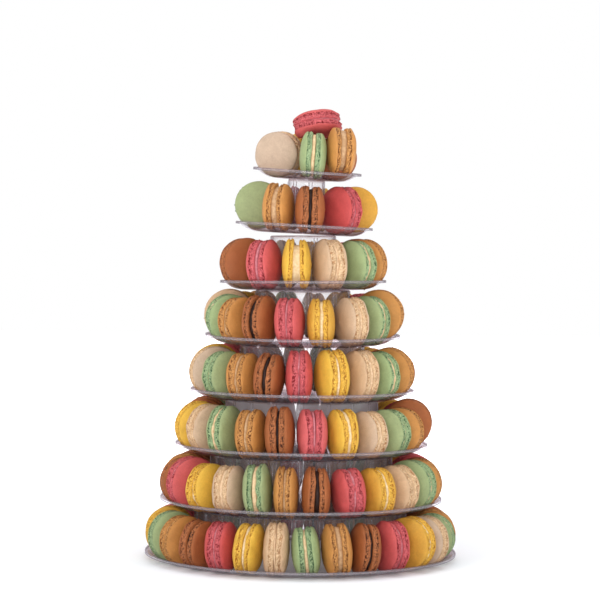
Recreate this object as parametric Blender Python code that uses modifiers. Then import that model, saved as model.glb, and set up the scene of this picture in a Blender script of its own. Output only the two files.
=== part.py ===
"""Macaron tower: eight clear trays stacked on their own hollow hubs, with macarons on edge round each.

Metres, +Z up, front towards -Y. The origin is on the floor under the middle of the lowest tray.
Tiers are numbered from the top (1) to the bottom (8).
"""

import math
import random

import bmesh
import bpy
from mathutils import Euler, Matrix, Vector

MM = 0.001

# Stand: each tier is one formed sheet with a turned-down rim, a round channel and a hub under the next tier
TIERS = 8
TOP_RADIUS = 0.0542
RADIUS_STEP = 0.0144
# Height of each tray above the one below, by the number of the lower one
TIER_PITCH = {8: 0.0523, 7: 0.0537, 6: 0.0537, 5: 0.0537, 4: 0.0527, 3: 0.0530, 2: 0.0534}
SHEET = 0.0009
RIM_HEIGHT = 0.0094
BASE_RIM_HEIGHT = 0.0080
RIM_WIDTH = 0.0034
RIM_DROP = 0.0026
RIM_ROUNDING = 0.0006
CHANNEL_INSET = 0.0237
FLAT_INSIDE = 0.0103
FLAT_OUTSIDE = 0.0127
WALL_FOOT = 0.0246
WALL_HEIGHT = 0.0112
HUB_INSET = 0.0264
POST_RADIUS = 0.0050
POST_HEIGHT = 0.0392
TRAY_SIDES = {1: 16, 2: 16, 3: 16, 4: 16, 5: 20, 6: 20, 7: 20, 8: 20}
MERGE_DISTANCE = 0.00001
FREE_GAP = 0.0003
FACET_GAP = 0.0006
ROLL = {1: 3.3, 2: 2.5, 3: -0.6}
PITCH = {1: 3.1, 2: 0.9, 4: 1.3}
SLIDE = {2: 0.0006}

# Macarons: two domed shells with feet, and a filling set back between them
MACARON_RADIUS = 0.0240
MACARON_HALF = 0.0142
MACARON_SIDES = 8
ROUND_UP = 1.04
REST_GAP = 0.0011
DOME_REACH = 0.62
DOME_HEIGHT = 0.87
FOOT_HALF = 0.46
GROOVE = 0.88
# Outline of one shell: share of the radius and share of the half thickness, from the pole to the foot
SHELL = ((0.0, 1.0), (DOME_REACH, DOME_HEIGHT), (1.0, FOOT_HALF))
CONTACT_RADIUS = 0.50
CONTACT_INSET = 0.28
CROWD_GAP = 0.0004
SIZE_SPREAD = 0.025
YAW_SPREAD = 1.0
SEED = 7

FLAVOURS = {
    "c": ("cream", (0.73, 0.52, 0.33)),
    "g": ("green", (0.33, 0.46, 0.22)),
    "a": ("caramel", (0.58, 0.29, 0.08)),
    "b": ("brown", (0.40, 0.13, 0.05)),
    "p": ("pink", (0.60, 0.09, 0.09)),
    "y": ("yellow", (0.75, 0.43, 0.07)),
}
ORDER = "cgabpy"
SHELL_ROUGHNESS = 0.75
PLASTIC = (0.86, 0.86, 0.90)
PLASTIC_ROUGHNESS = 0.08
PLASTIC_ALPHA = 0.35

# Macarons seen from the front: flavours, then place round the ring, disc angle, half thickness and radius.
# Angles are in degrees from the front, positive to the right, and sizes in mm.
FRONT = {
    3: ("abpycgab", (
        (-107, -104, 12.5, 24.2), (-75, -63, 13, 25.0), (-39.4, -22, 14.4, 24.2),
        (-6.3, -1, 14.2, 24.3), (25.3, 21, 14.2, 24.4), (58, 43, 13, 23.7), (84, 60, 12.3, 24.6),
        (113, 96, 12.5, 25.1),
    )),
    4: ("ycgabpycga", (
        (-122, -117, 13, 24.6), (-99, -88, 12.5, 25.3), (-81, -67, 12.5, 24.0),
        (-57, -44, 13.5, 22.9), (-34.5, -22, 14.6, 24.3), (-10, -9.5, 14, 23.6),
        (13.6, 2, 13.6, 23.2), (39.5, 26, 13.2, 23.7), (61, 44, 13, 24.3), (82, 71, 12.5, 25.2),
    )),
    5: ("pycgabpycga", (
        (-120, -117, 13.5, 25.4), (-100, -92, 13.5, 25.4), (-80, -67, 13.7, 24.9),
        (-59.4, -46, 13.7, 23.2), (-39.5, -25, 13.7, 23.0), (-21.3, -13, 14.8, 23.0),
        (-2, -1, 13, 25.3), (18.5, 17, 14.6, 25.1), (39.5, 27, 14, 25.2), (57.7, 46, 13, 23.7),
        (75, 66, 12.5, 25.4),
    )),
    6: ("bpycgabpycgab", (
        (-108, -105, 13.5, 25.1), (-92, -86, 13.5, 24.0), (-76, -68, 13.5, 24.7),
        (-61, -50, 13.5, 24.0), (-46, -30, 13.5, 24.4), (-28, -15, 14, 23.4),
        (-11.9, -6, 14.5, 25.3), (5.5, 6, 14.4, 24.4), (22.5, 18.5, 13.9, 24.1), (38, 38, 13, 22.5),
        (54, 51, 14, 23.3), (71, 68, 14, 22.9), (85, 85, 13, 23.7),
    )),
    7: ("abpycgabpycga", (
        (-95, -93, 13.5, 23.7), (-79, -75, 13.7, 23.7), (-66, -60, 13.5, 25.2),
        (-50, -40, 13.7, 23.5), (-35.5, -22, 14, 23.3), (-20.4, -9, 13.6, 25.0),
        (-7, -3, 11.7, 24.2), (6.9, 3, 13.6, 24.2), (22.6, 16, 15, 23.4), (37.5, 31, 14.5, 23.1),
        (52, 46, 14, 23.5), (66, 60, 13.7, 24.9), (79, 75, 13, 24.0),
    )),
    8: ("ygabpycgabpycg", (
        (-83, -78, 13.5, 23.2), (-71, -64, 13.5, 24.6), (-60, -50, 13.5, 23.8),
        (-47, -35, 13.7, 23.0), (-34.6, -18, 15, 24.0), (-21.5, -13.5, 13.8, 23.8),
        (-9.9, -3.5, 12.3, 25.0), (2.2, 0.7, 13.7, 22.6), (15.1, 8.7, 15, 24.7),
        (27.5, 15.5, 13.2, 23.9), (40.5, 28, 13.7, 24.3), (53.5, 52, 13.5, 25.3),
        (65.5, 60, 14, 24.3), (80, 75, 13.5, 23.3),
    )),
}
# Macarons in the rest of each ring, spaced evenly
BEHIND = {3: 4, 4: 6, 5: 8, 6: 10, 7: 13, 8: 16}
FUSED = (5, 6, 7, 8)
# Macarons that lean on the rim, by tier and place in its ring: how far out and how far up, in mm
LEANING = {(3, 7): (1.2, 0.0), (4, 2): (1.5, 1.5), (4, 10): (1.5, 2.8), (6, 13): (4.0, 5.0)}

# On the two small top trays they stand less regularly: flavour, x and y, disc angle, lift, half thickness
# and radius. Angles are in degrees and the rest in mm.
PLACED = {
    1: (
        ("c", -29.9, 7.4, -114, -0.5, 14.0, 22.8),
        ("g", 4.5, -31.0, 0, 1.0, 13.3, 22.7),
        ("a", 31.8, -25.2, 7.5, 7.5, 14.3, 22.9),
        ("b", 26.2, 17.6, 113, -0.2, 12.0, 21.7),
        ("y", -9.0, 31.0, 196, 1.0, 12.0, 21.7),
    ),
    2: (
        ("g", -46.6, 1.5, -88, 1.8, 12.5, 23.6),
        ("a", -26.3, -37.5, -13, 0.9, 14.5, 23.1),
        ("b", 4.6, -46.0, 1, 0.8, 14.5, 22.8),
        ("p", 35.3, -28.4, 38.5, -0.2, 13.0, 23.7),
        ("y", 48.8, 2.5, 92, 2.8, 12.3, 22.9),
        ("c", 37.5, 30.0, 128, 2.0, 11.3, 22.2),
        ("y", 14.0, 46.0, 163, 2.0, 11.3, 22.2),
        ("p", -16.0, 45.0, 199, 2.0, 11.3, 22.2),
        ("b", -38.3, 29.8, 232, 2.4, 11.3, 22.2),
    ),
}
# The pink one that lies on the post of the top tray, tipped back and to the left
LYING_PLACE = (0.0068, -0.0005, 0.0556)
LYING_TIP = (-15.0, -12.0)
LYING_RADIUS = 0.0238
LYING_HALF = 0.0128


def tier_radius(tier):
    return TOP_RADIUS + RADIUS_STEP * (tier - 1)


def ring_radius(tier):
    """Radius of the circle that the macarons stand on."""
    return tier_radius(tier) - CHANNEL_INSET


def hub_radius(tier):
    return POST_RADIUS if tier == 1 else ring_radius(tier) - HUB_INSET


def wall_slope():
    """Rise over run of the channel's inner wall."""
    return (WALL_HEIGHT - SHEET) / (WALL_FOOT - FLAT_INSIDE)


def seat_height(tier):
    """How far above a tray's lowest plane its underside meets the edge of the hub below."""
    run = ring_radius(tier) - FLAT_INSIDE - hub_radius(tier + 1)
    return SHEET + run * wall_slope() - SHEET * math.hypot(1.0, wall_slope())


def hub_height(tier):
    return POST_HEIGHT if tier == 1 else TIER_PITCH[tier] + seat_height(tier - 1) - FREE_GAP


def rim_height(tier):
    return BASE_RIM_HEIGHT if tier == TIERS else RIM_HEIGHT


def clear_scene():
    for old in list(bpy.data.objects):
        bpy.data.objects.remove(old, do_unlink=True)


def new_material(name, colour, roughness, alpha=1.0):
    material = bpy.data.materials.new(name)
    material.use_nodes = True
    shader = material.node_tree.nodes["Principled BSDF"]
    shader.inputs["Base Color"].default_value = (*colour, 1.0)
    shader.inputs["Roughness"].default_value = roughness
    shader.inputs["Metallic"].default_value = 0.0
    shader.inputs["Alpha"].default_value = alpha
    return material


def add_object(name, mesh, collection, parent):
    item = bpy.data.objects.new(name, mesh)
    collection.objects.link(item)
    item.parent = parent
    return item


def place_tiers(collection):
    """One empty for each tier, from the floor up.

    A tray that rolls rests on one side of the hub below. One that pitches also slides, so it rests all round.
    """
    empties = {}
    below = Matrix.Identity(4)
    roll_below = 0.0
    pitch_below = 0.0
    for tier in range(TIERS, 0, -1):
        roll = math.radians(ROLL.get(tier, 0.0))
        pitch = math.radians(PITCH.get(tier, 0.0))
        height = 0.0
        forward = 0.0
        if tier < TIERS:
            height = TIER_PITCH[tier + 1] + hub_radius(tier + 1) * abs(math.sin(roll - roll_below))
            forward = hub_radius(tier + 1) * math.sin(pitch - pitch_below) / wall_slope()
            if TRAY_SIDES[tier] != TRAY_SIDES[tier + 1] or forward:
                height += FACET_GAP
        seat = below @ Vector((SLIDE.get(tier, 0.0), -forward, height))
        empty = bpy.data.objects.new(f"tier_{tier}", None)
        empty.location = seat
        empty.rotation_euler = (pitch, roll, 0.0)
        collection.objects.link(empty)
        empties[tier] = empty
        below = Matrix.Translation(seat) @ Euler(empty.rotation_euler).to_matrix().to_4x4()
        roll_below = roll
        pitch_below = pitch
    return empties


def turned_object(name, points, sides, collection, parent):
    """A profile in the XZ plane, turned about Z."""
    mesh = bpy.data.meshes.new(name)
    shape = bmesh.new()
    row = [shape.verts.new((radius, 0.0, height)) for radius, height in points]
    for start, end in zip(row, row[1:]):
        shape.edges.new((start, end))
    shape.to_mesh(mesh)
    shape.free()
    item = add_object(name, mesh, collection, parent)
    screw = item.modifiers.new("turn", "SCREW")
    screw.axis = "Z"
    screw.steps = sides
    screw.render_steps = sides
    screw.use_merge_vertices = True
    screw.merge_threshold = MERGE_DISTANCE
    screw.use_smooth_shade = True
    return item


def make_tray(tier, material, collection, parent):
    """The profile is the food side of the sheet: down the hub, across the channel and out to the rim."""
    edge = tier_radius(tier)
    ring = ring_radius(tier)
    rim = rim_height(tier)
    profile = (
        (0.0, hub_height(tier)),
        (hub_radius(tier), hub_height(tier)),
        (ring - WALL_FOOT, WALL_HEIGHT),
        (ring - FLAT_INSIDE, SHEET),
        (ring + FLAT_OUTSIDE, SHEET),
        (edge - RIM_WIDTH, rim),
        (edge - RIM_ROUNDING, rim),
        (edge, rim - RIM_DROP),
    )
    tray = turned_object(f"tray_{tier}", profile, TRAY_SIDES[tier], collection, parent)
    tray.data.materials.append(material)
    sheet = tray.modifiers.new("sheet", "SOLIDIFY")
    sheet.thickness = SHEET
    sheet.offset = -1.0
    sheet.use_even_offset = True
    return tray


def rest_height(radius):
    """Height of a macaron's middle when it stands in the channel on one of its flats."""
    return SHEET + REST_GAP + radius * ROUND_UP * math.cos(math.pi / MACARON_SIDES)


def macaron_profile(radius, lower_half, upper_half):
    """Half outline of a macaron from one pole to the other. Its two shells may differ in thickness."""
    size = radius * ROUND_UP
    upper = tuple((reach * size, height * upper_half) for reach, height in SHELL)
    lower = tuple((reach * size, -height * lower_half) for reach, height in reversed(SHELL))
    return upper + ((GROOVE * size, 0.0),) + lower


def make_macaron(name, flavour, radius, halves, materials, collection, parent):
    profile = macaron_profile(radius, *halves)
    macaron = turned_object(name, profile, MACARON_SIDES, collection, parent)
    macaron.data.materials.append(materials[flavour])
    return macaron


def stand_up(macaron, place, yaw):
    """Stands it on a flat, with its disc turned by yaw from the front-to-back plane."""
    turn = Matrix.Rotation(yaw, 3, "Z") @ Matrix.Rotation(math.pi / 2, 3, "Y")
    turn = turn @ Matrix.Rotation(math.pi / MACARON_SIDES, 3, "Z")
    macaron.location = place
    macaron.rotation_euler = turn.to_euler()


def ring_places(tier):
    """Flavour, angle, yaw, radius, half thickness and lean of each macaron, going round to the right."""
    draw = random.Random(SEED * 100 + tier)
    flavours, front = FRONT[tier]
    first = front[0][0]
    last = front[-1][0]
    step = (first + 360.0 - last) / (BEHIND[tier] + 1)
    back = [last + step * (number + 1) for number in range(BEHIND[tier])]
    turned = list(front)
    for angle in back:
        radius = MACARON_RADIUS * (1.0 + SIZE_SPREAD * draw.uniform(-1.0, 1.0))
        turned.append((angle, angle, MACARON_HALF / MM, radius / MM))
    start = ORDER.index(flavours[-1]) + 1
    flavours += "".join(ORDER[(start + number) % len(ORDER)] for number in range(BEHIND[tier]))
    places = []
    for number, (angle, yaw, half, radius) in enumerate(turned):
        yaw = math.radians(yaw + YAW_SPREAD * draw.uniform(-1.0, 1.0))
        lean = LEANING.get((tier, number + 1), (0.0, 0.0))
        places.append((flavours[number], math.radians(angle), yaw, radius * MM, half * MM, lean))
    return places


def standing_point(tier, angle, radius, lean):
    """Middle of a macaron of this radius that stands in the ring at this angle."""
    reach = ring_radius(tier) + lean[0] * MM
    return Vector((reach * math.sin(angle), -reach * math.cos(angle), rest_height(radius) + lean[1] * MM))


def facing_pairs(tier, places):
    """Between each macaron and the next: the middle, the direction across both and the room for a shell.

    Two neighbours meet half way, and the more their discs turn from each other, the less room is left.
    """
    pairs = []
    for number, (_, angle, yaw, radius, _, lean) in enumerate(places):
        _, next_angle, next_yaw, next_radius, _, next_lean = places[(number + 1) % len(places)]
        start = standing_point(tier, angle, radius, lean)
        end = standing_point(tier, next_angle, next_radius, next_lean)
        turn = (next_yaw - yaw) % math.tau / 2
        across = Vector((math.cos(yaw + turn), math.sin(yaw + turn), 0.0))
        reach = (end - start).dot(across) / 2
        aside = max(radius, next_radius) * ROUND_UP * math.sin(turn)
        room = min((reach - share * aside) / (height * math.cos(turn)) for share, height in SHELL)
        pairs.append(((start + end) / 2, across, room - CROWD_GAP))
    return pairs


def shell_halves(places, pairs):
    """Thicknesses of both shells of each macaron, where there is room for them."""
    halves = []
    for number, place in enumerate(places):
        half = place[4]
        halves.append((min(half, pairs[number - 1][2]), min(half, pairs[number][2])))
    return halves


def section(centre, across, offset, reach, radius):
    """One upright polygon of a macaron: across points over its faces, reach moves it out in its own plane."""
    outward = Vector((across.y, -across.x, 0.0))
    points = []
    for side in range(MACARON_SIDES):
        angle = math.tau * (side + 0.5) / MACARON_SIDES
        in_plane = outward * (reach + radius * math.cos(angle)) + Vector((0.0, 0.0, radius * math.sin(angle)))
        points.append(centre + across * offset + in_plane)
    return points


def make_fused_ring(tier, materials, collection, parent):
    """A whole ring of macarons as one body. Each touches the next where their domes meet, inside the ring."""
    places = ring_places(tier)
    pairs = facing_pairs(tier, places)
    sections = []
    for place, halves, pair in zip(places, shell_halves(places, pairs), pairs):
        flavour, angle, yaw, radius, _, lean = place
        middle = standing_point(tier, angle, radius, lean)
        across = Vector((math.cos(yaw), math.sin(yaw), 0.0))
        size = radius * ROUND_UP
        feet = (-FOOT_HALF * halves[0], size), (0.0, size * GROOVE), (FOOT_HALF * halves[1], size)
        for offset, width in feet:
            sections.append((flavour, section(middle, across, offset, 0.0, width)))
        meeting, across, _ = pair
        inward = -CONTACT_INSET * radius
        sections.append((flavour, section(meeting, across, 0.0, inward, CONTACT_RADIUS * size)))
    shape = bmesh.new()
    rows = [[shape.verts.new(point) for point in points] for _, points in sections]
    flavours = list(materials)
    for number, row in enumerate(rows):
        following = rows[(number + 1) % len(rows)]
        flavour = sections[(number + 1) % len(rows)][0]
        for side in range(MACARON_SIDES):
            after = (side + 1) % MACARON_SIDES
            face = shape.faces.new((row[side], row[after], following[after], following[side]))
            face.material_index = flavours.index(flavour)
            face.smooth = True
    bmesh.ops.recalc_face_normals(shape, faces=shape.faces)
    mesh = bpy.data.meshes.new(f"macarons_{tier}")
    shape.to_mesh(mesh)
    shape.free()
    for flavour in flavours:
        mesh.materials.append(materials[flavour])
    return add_object(f"macarons_{tier}", mesh, collection, parent)


def make_regular_ring(tier, materials, collection, parent):
    places = ring_places(tier)
    thicknesses = shell_halves(places, facing_pairs(tier, places))
    for number, (place, halves) in enumerate(zip(places, thicknesses), start=1):
        flavour, angle, yaw, radius, _, lean = place
        name = f"macaron_{tier}_{number:02d}_{FLAVOURS[flavour][0]}"
        macaron = make_macaron(name, flavour, radius, halves, materials, collection, parent)
        stand_up(macaron, standing_point(tier, angle, radius, lean), yaw)


def make_placed_ring(tier, materials, collection, parent):
    for number, (flavour, x, y, yaw, lift, half, radius) in enumerate(PLACED[tier], start=1):
        name = f"macaron_{tier}_{number:02d}_{FLAVOURS[flavour][0]}"
        halves = (half * MM, half * MM)
        macaron = make_macaron(name, flavour, radius * MM, halves, materials, collection, parent)
        place = Vector((x * MM, y * MM, rest_height(radius * MM) + lift * MM))
        stand_up(macaron, place, math.radians(yaw))


def make_lying_macaron(materials, collection, parent):
    halves = (LYING_HALF, LYING_HALF)
    macaron = make_macaron("macaron_top_pink", "p", LYING_RADIUS, halves, materials, collection, parent)
    macaron.location = LYING_PLACE
    tip_back, tip_left = LYING_TIP
    macaron.rotation_euler = (math.radians(tip_back), math.radians(tip_left), 0.0)


def main():
    clear_scene()
    tower = bpy.data.collections.new("macaron_tower")
    bpy.context.scene.collection.children.link(tower)
    plastic = new_material("clear_plastic", PLASTIC, PLASTIC_ROUGHNESS, alpha=PLASTIC_ALPHA)
    materials = {
        key: new_material(f"{name}_shell", colour, SHELL_ROUGHNESS)
        for key, (name, colour) in FLAVOURS.items()
    }
    empties = place_tiers(tower)
    for tier, empty in empties.items():
        make_tray(tier, plastic, tower, empty)
        if tier in PLACED:
            make_placed_ring(tier, materials, tower, empty)
        elif tier in FUSED:
            make_fused_ring(tier, materials, tower, empty)
        else:
            make_regular_ring(tier, materials, tower, empty)
    make_lying_macaron(materials, tower, empties[1])


main()
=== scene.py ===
import math
import random

import bpy
import numpy as np
from mathutils import Euler, Matrix, Vector


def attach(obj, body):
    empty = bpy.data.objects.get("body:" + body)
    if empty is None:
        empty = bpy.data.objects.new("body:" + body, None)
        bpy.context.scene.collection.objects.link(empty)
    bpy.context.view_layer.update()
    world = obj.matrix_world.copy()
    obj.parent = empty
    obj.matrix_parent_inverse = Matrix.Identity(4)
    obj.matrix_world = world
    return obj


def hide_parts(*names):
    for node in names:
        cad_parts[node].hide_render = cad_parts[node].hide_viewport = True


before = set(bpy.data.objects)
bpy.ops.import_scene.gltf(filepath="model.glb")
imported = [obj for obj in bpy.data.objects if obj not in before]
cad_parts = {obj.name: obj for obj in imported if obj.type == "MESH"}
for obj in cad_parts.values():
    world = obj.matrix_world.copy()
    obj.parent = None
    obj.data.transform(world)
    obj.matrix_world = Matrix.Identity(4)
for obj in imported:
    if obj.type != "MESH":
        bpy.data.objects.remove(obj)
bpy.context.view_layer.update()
mm = 0.001
print("frame:", len(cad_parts), "nodes")

# View and light, matched to the photo
view = {
    "distance": 2.04, "height": 0.2982, "side": -0.0035, "roll": 0.65,  # metres and degrees
    "lens": 122.4, "sensor": 36.0, "shiftY": -41 / 600, "near": 0.05,
}


def makeCamera():
    data = bpy.data.cameras.new("camera")
    data.lens = view["lens"]
    data.sensor_width = view["sensor"]
    data.shift_y = view["shiftY"]
    data.clip_start = view["near"]
    camera = bpy.data.objects.new("camera", data)
    bpy.context.scene.collection.objects.link(camera)
    camera.location = (view["side"], -view["distance"], view["height"])
    level = Matrix.Rotation(math.radians(90), 3, "X")
    camera.rotation_euler = (level @ Matrix.Rotation(math.radians(view["roll"]), 3, "Z")).to_euler()
    bpy.context.scene.camera = camera


studio = {
    "lamps": (  # name, place, aim, size in metres, power in watts
        ("key", (-1.3, -1.5, 1.5), (0.0, 0.0, 0.20), 0.9, 12.5),
        ("fill", (1.6, -1.3, 0.9), (0.0, 0.0, 0.20), 1.2, 7.5),
        ("front", (-0.1, -2.3, 0.45), (0.0, 0.0, 0.22), 0.8, 15.5),
        ("top", (0.1, 0.3, 1.9), (0.0, 0.0, 0.20), 1.1, 10.0),
    ),
    "sky": (0.80, 0.42, 0.95),  # brightness below, level with and above the tower
    "skyBlue": 1.02, "floorColour": (0.86, 0.89, 0.93), "floorRoughness": 0.9, "floorSpecular": 0.1,
    "floorHalf": 6.0, "floorDrop": 0.0002,
    "floorGlow": (0.10, 1.2), "glowReach": (0.22, 1.0),  # at the tower, and far from it
}


def addNode(tree, kind, **settings):
    node = tree.nodes.new(kind)
    for name, value in settings.items():
        setattr(node, name, value)
    return node


def link(tree, output, socket):
    tree.links.new(output, socket)


def makeStudio():
    for name, place, aim, size, power in studio["lamps"]:
        data = bpy.data.lights.new(name, "AREA")
        data.size = size
        data.energy = power
        lamp = bpy.data.objects.new(name, data)
        bpy.context.scene.collection.objects.link(lamp)
        lamp.location = place
        lamp.rotation_euler = (Vector(place) - Vector(aim)).to_track_quat("Z", "Y").to_euler()
    world = bpy.data.worlds.new("studio")
    bpy.context.scene.world = world
    world.use_nodes = True
    tree = world.node_tree
    tree.nodes.clear()
    place = addNode(tree, "ShaderNodeTexCoord")
    split = addNode(tree, "ShaderNodeSeparateXYZ")
    ramp = addNode(tree, "ShaderNodeValToRGB")
    below, level, above = studio["sky"]
    stops = ramp.color_ramp.elements
    stops[0].color = (below, below, below, 1)
    stops[1].color = (above, above, above, 1)
    stops.new(0.5).color = (level, level, level * studio["skyBlue"], 1)
    half = addNode(tree, "ShaderNodeMath", operation="MULTIPLY_ADD")  # from -1 to 1 into 0 to 1
    half.inputs[1].default_value = 0.5
    half.inputs[2].default_value = 0.5
    link(tree, place.outputs["Generated"], split.inputs[0])
    link(tree, split.outputs["Z"], half.inputs[0])
    link(tree, half.outputs[0], ramp.inputs[0])
    lit = addNode(tree, "ShaderNodeBackground")
    link(tree, ramp.outputs[0], lit.inputs["Color"])
    white = addNode(tree, "ShaderNodeBackground")
    white.inputs["Color"].default_value = (1, 1, 1, 1)
    path = addNode(tree, "ShaderNodeLightPath")
    mix = addNode(tree, "ShaderNodeMixShader")
    out = addNode(tree, "ShaderNodeOutputWorld")
    link(tree, path.outputs["Is Camera Ray"], mix.inputs[0])
    link(tree, lit.outputs[0], mix.inputs[1])
    link(tree, white.outputs[0], mix.inputs[2])
    link(tree, mix.outputs[0], out.inputs[0])
    scene = bpy.context.scene
    scene.view_settings.view_transform = "Standard"
    scene.cycles.transparent_max_bounces = 40  # a ray can cross many thin sheets


def noiseNode(tree, vector, scale, detail=2.0, roughness=0.5):
    node = addNode(tree, "ShaderNodeTexNoise")
    node.inputs["Scale"].default_value = scale
    node.inputs["Detail"].default_value = detail
    node.inputs["Roughness"].default_value = roughness
    link(tree, vector, node.inputs["Vector"])
    return node.outputs["Fac"]


def mapNode(tree, value, low, high, toLow, toHigh):
    node = addNode(tree, "ShaderNodeMapRange")
    for title, number in (("From Min", low), ("From Max", high), ("To Min", toLow), ("To Max", toHigh)):
        node.inputs[title].default_value = number
    link(tree, value, node.inputs["Value"])
    return node.outputs[0]


def mathNode(tree, operation, first, second):
    node = addNode(tree, "ShaderNodeMath", operation=operation)
    for socket, value in zip(node.inputs, (first, second)):
        if isinstance(value, (int, float)):
            socket.default_value = value
        else:
            link(tree, value, socket)
    return node.outputs[0]


def mixNode(tree, share, first, second):  # inputs 0, 6 and 7 are the factor and the two colours
    node = addNode(tree, "ShaderNodeMix", data_type="RGBA")
    for socket, value in ((node.inputs[0], share), (node.inputs[6], first), (node.inputs[7], second)):
        if isinstance(value, (int, float)):
            socket.default_value = value
        elif isinstance(value, tuple):
            socket.default_value = (*value, 1)
        else:
            link(tree, value, socket)
    return node.outputs[2]


def attributeNode(tree, name):
    return addNode(tree, "ShaderNodeAttribute", attribute_name=name)


def brightNode(tree, colour, value):
    node = addNode(tree, "ShaderNodeHueSaturation")
    link(tree, colour, node.inputs["Color"])
    link(tree, value, node.inputs["Value"])
    return node.outputs[0]


def bumpNode(tree, height, strength, distance, shader):
    node = addNode(tree, "ShaderNodeBump")
    node.inputs["Strength"].default_value = strength
    node.inputs["Distance"].default_value = distance
    link(tree, height, node.inputs["Height"])
    link(tree, node.outputs[0], shader.inputs["Normal"])


def newMaterial(name):
    material = bpy.data.materials.new(name)
    material.use_nodes = True
    return material, material.node_tree, material.node_tree.nodes["Principled BSDF"]


def makeFloor():
    mesh = bpy.data.meshes.new("floor")
    half = studio["floorHalf"]
    corners = [(x * half, y * half, 0) for x, y in ((-1, -1), (1, -1), (1, 1), (-1, 1))]
    mesh.from_pydata(corners, [], [(0, 1, 2, 3)])
    floor = bpy.data.objects.new("floor", mesh)
    bpy.context.scene.collection.objects.link(floor)
    floor.location.z = -studio["floorDrop"]
    material, tree, shader = newMaterial("floor")
    shader.inputs["Base Color"].default_value = (*studio["floorColour"], 1)
    shader.inputs["Roughness"].default_value = studio["floorRoughness"]
    shader.inputs["Specular IOR Level"].default_value = studio["floorSpecular"]
    shader.inputs["Emission Color"].default_value = (1, 1, 1, 1)
    place = addNode(tree, "ShaderNodeTexCoord").outputs["Object"]
    reach = addNode(tree, "ShaderNodeVectorMath", operation="LENGTH")
    link(tree, place, reach.inputs[0])
    glow = mapNode(tree, reach.outputs["Value"], *studio["glowReach"], *studio["floorGlow"])
    link(tree, glow, shader.inputs["Emission Strength"])
    mesh.materials.append(material)


makeCamera()
makeStudio()
makeFloor()
print("camera, light and floor made")

# The stand: where each tier is
stand = {
    "tiers": 8, "topRadius": 54.2 * mm, "radiusStep": 14.4 * mm, "sheet": 0.9 * mm,
    "pitch": {8: 52.3, 7: 53.7, 6: 53.7, 5: 53.7, 4: 52.7, 3: 53.0, 2: 53.4},  # mm up to the next tray
    "rimHeight": 9.4 * mm, "baseRimHeight": 8.0 * mm, "rimWidth": 3.4 * mm, "rimDrop": 2.6 * mm,
    "rimRounding": 0.5 * mm,
    "channelInset": 23.7 * mm,  # from the rim in to the ring that the macarons stand on
    "bowlStart": 0.2 * mm,  # from that ring outwards, and the next three from it inwards
    "flatInside": 10.3 * mm, "wallFoot": 24.6 * mm, "hubInset": 26.4 * mm, "wallHeight": 11.2 * mm,
    "postRadius": 5.0 * mm, "postHeight": 39.2 * mm, "freeGap": 0.3 * mm, "facetGap": 0.6 * mm,
    "roll": {1: 3.3, 2: 2.5, 3: -0.6}, "nod": {1: 3.1, 2: 0.9, 4: 1.3},  # degrees to the right and forward
    "slide": {2: 0.6 * mm}, "facetedTiers": (1, 2, 3, 4),  # tiers whose solids have fewer sides
    "turns": 144, "bowlSteps": 9, "sharpest": 0.5, "stretch": 1.6,  # the last two limit the sheet's corners
}


def tierRadius(tier):
    return stand["topRadius"] + stand["radiusStep"] * (tier - 1)


def ringRadius(tier):
    return tierRadius(tier) - stand["channelInset"]


def hubRadius(tier):
    return stand["postRadius"] if tier == 1 else ringRadius(tier) - stand["hubInset"]


def wallSlope():
    return (stand["wallHeight"] - stand["sheet"]) / (stand["wallFoot"] - stand["flatInside"])


def seatHeight(tier):  # height of the tray's underside where the hub below carries it
    run = ringRadius(tier) - stand["flatInside"] - hubRadius(tier + 1)
    return stand["sheet"] + run * wallSlope() - stand["sheet"] * math.hypot(1, wallSlope())


def hubHeight(tier):  # a hub ends just under the tray that it carries
    if tier == 1:
        return stand["postHeight"]
    return stand["pitch"][tier] * mm + seatHeight(tier - 1) - stand["freeGap"]


def tierFrames():  # from the lowest tray up, as each leans and slides on the one below
    places = {}
    below, rollBelow, nodBelow = Matrix.Identity(4), 0.0, 0.0
    for tier in range(stand["tiers"], 0, -1):
        roll, nod = (math.radians(stand[kind].get(tier, 0.0)) for kind in ("roll", "nod"))
        height, forward = 0.0, 0.0
        if tier < stand["tiers"]:
            height = stand["pitch"][tier + 1] * mm + hubRadius(tier + 1) * abs(math.sin(roll - rollBelow))
            forward = hubRadius(tier + 1) * math.sin(nod - nodBelow) / wallSlope()
            if (tier in stand["facetedTiers"]) != (tier + 1 in stand["facetedTiers"]) or forward:
                height += stand["facetGap"]
        seat = below @ Vector((stand["slide"].get(tier, 0.0), -forward, height))
        below = Matrix.Translation(seat) @ Euler((nod, roll, 0)).to_matrix().to_4x4()
        rollBelow, nodBelow = roll, nod
        places[tier] = below
    return places


tierPlace = tierFrames()

# Clear trays
trayFinish = {  # film, which veils what is behind, and shade, painted shade which darkens what is seen through
    "top": (0.02, 0.0), "topEdge": (0.05, 0.05), "topCorner": (0.20, 0.50), "hubStart": (0.12, 0.10),
    "hubFilm": {5: 0.16, 6: 0.36, 7: 0.13, 8: 0.12}, "otherHubFilm": 0.10,  # by tier; more on tiers 5 to 8 as painted light where the hub catches light
    "hubShade": {4: 0.02, 5: 0.04, 7: 0.03, 8: 0.03}, "hubEndShade": 1.3,  # painted shade inside the lower hubs; the last is a share
    "channelWall": (0.06, 0.05), "channelFoot": (0.03, 0.08), "flat": (0.03, 0.20), "flatEnd": (0.02, 0.20),
    "bowl": (0.06, 0.20, 0.6), "baseBowl": (0.09, 0.28, 0.8),  # film, painted shade and its fade to the rim; more shade on the base tray for its contact shadow
    "rimStart": (0.06, 0.35), "rimFlat": (0.10, 0.05), "rimBend": (0.13, 0.15), "rimCorner": (0.20, 0.55),
    "sideStart": (0.15, 0.50), "side": (0.13, 0.0), "sideFoot": (0.16, 0.70), "sideEnd": (0.16, 0.80),
    "rib": (0.22, 0.0), "ribFoot": (0.22, 0.08),
}
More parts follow.
